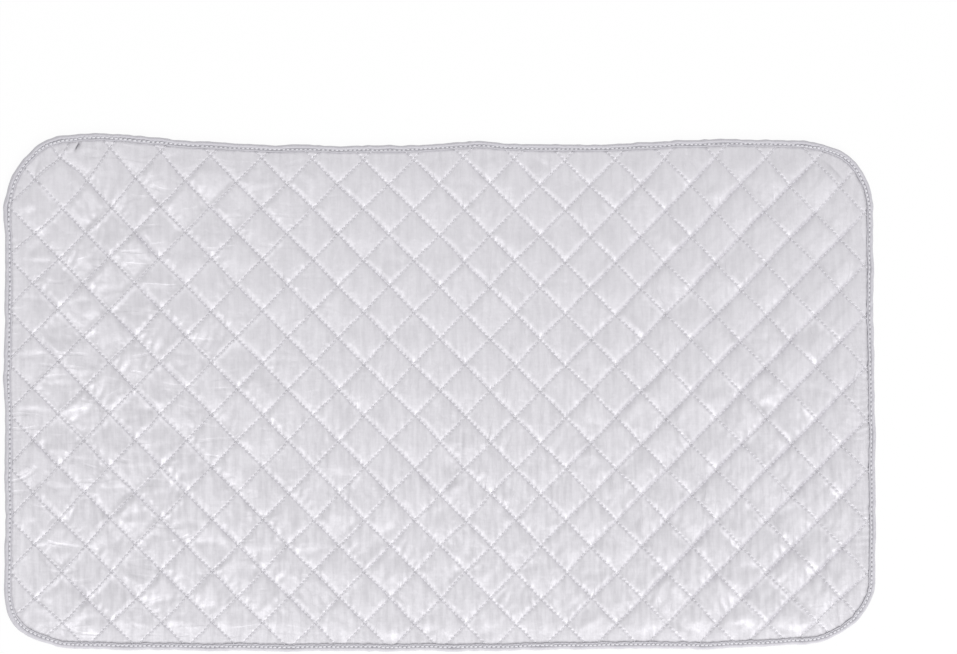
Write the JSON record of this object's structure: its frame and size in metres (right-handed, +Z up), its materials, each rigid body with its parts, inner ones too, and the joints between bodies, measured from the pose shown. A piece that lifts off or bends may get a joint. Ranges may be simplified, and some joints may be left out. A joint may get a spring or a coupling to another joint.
{
  "type": "ironing pad",
  "caption": "Flat rectangular quilted pad with rounded corners, a puffed coated face, soft fill, a bound edge and corner magnets, laid on a table or a steel top for ironing.",
  "frame": {"origin": "under the middle of the pad, on the surface that it lies on", "axes": "+X along the pad's length, +Y along its width towards the back, +Z up out of the ironing face"},
  "size_m": [0.85, 0.48, 0.0072],
  "materials": {
    "face": "plain-woven cloth with a silvery heat-reflecting coating",
    "fill": "soft needled fibre wadding",
    "backing": "plain matt woven cloth",
    "tape": "grey woven binding tape",
    "thread": "grey sewing thread",
    "magnet": "dark sintered ferrite",
    "pocket": "thin white non-woven cloth"
  },
  "bodies": {
    "root": {"face_cloth": "face", "wadding": "fill", "backing_cloth": "backing", "edge_binding": "tape", "binding_needle_thread": "thread", "binding_bobbin_thread": "thread", "quilting_needle_thread_rising": "thread", "quilting_needle_thread_falling": "thread", "quilting_bobbin_thread_rising": "thread", "quilting_bobbin_thread_falling": "thread", "corner_magnet_back_right": "magnet", "corner_magnet_back_left": "magnet", "corner_magnet_front_left": "magnet", "corner_magnet_front_right": "magnet", "magnet_pocket_back_right": "pocket", "magnet_pocket_back_left": "pocket", "magnet_pocket_front_left": "pocket", "magnet_pocket_front_right": "pocket"}
  },
  "joints": []
}
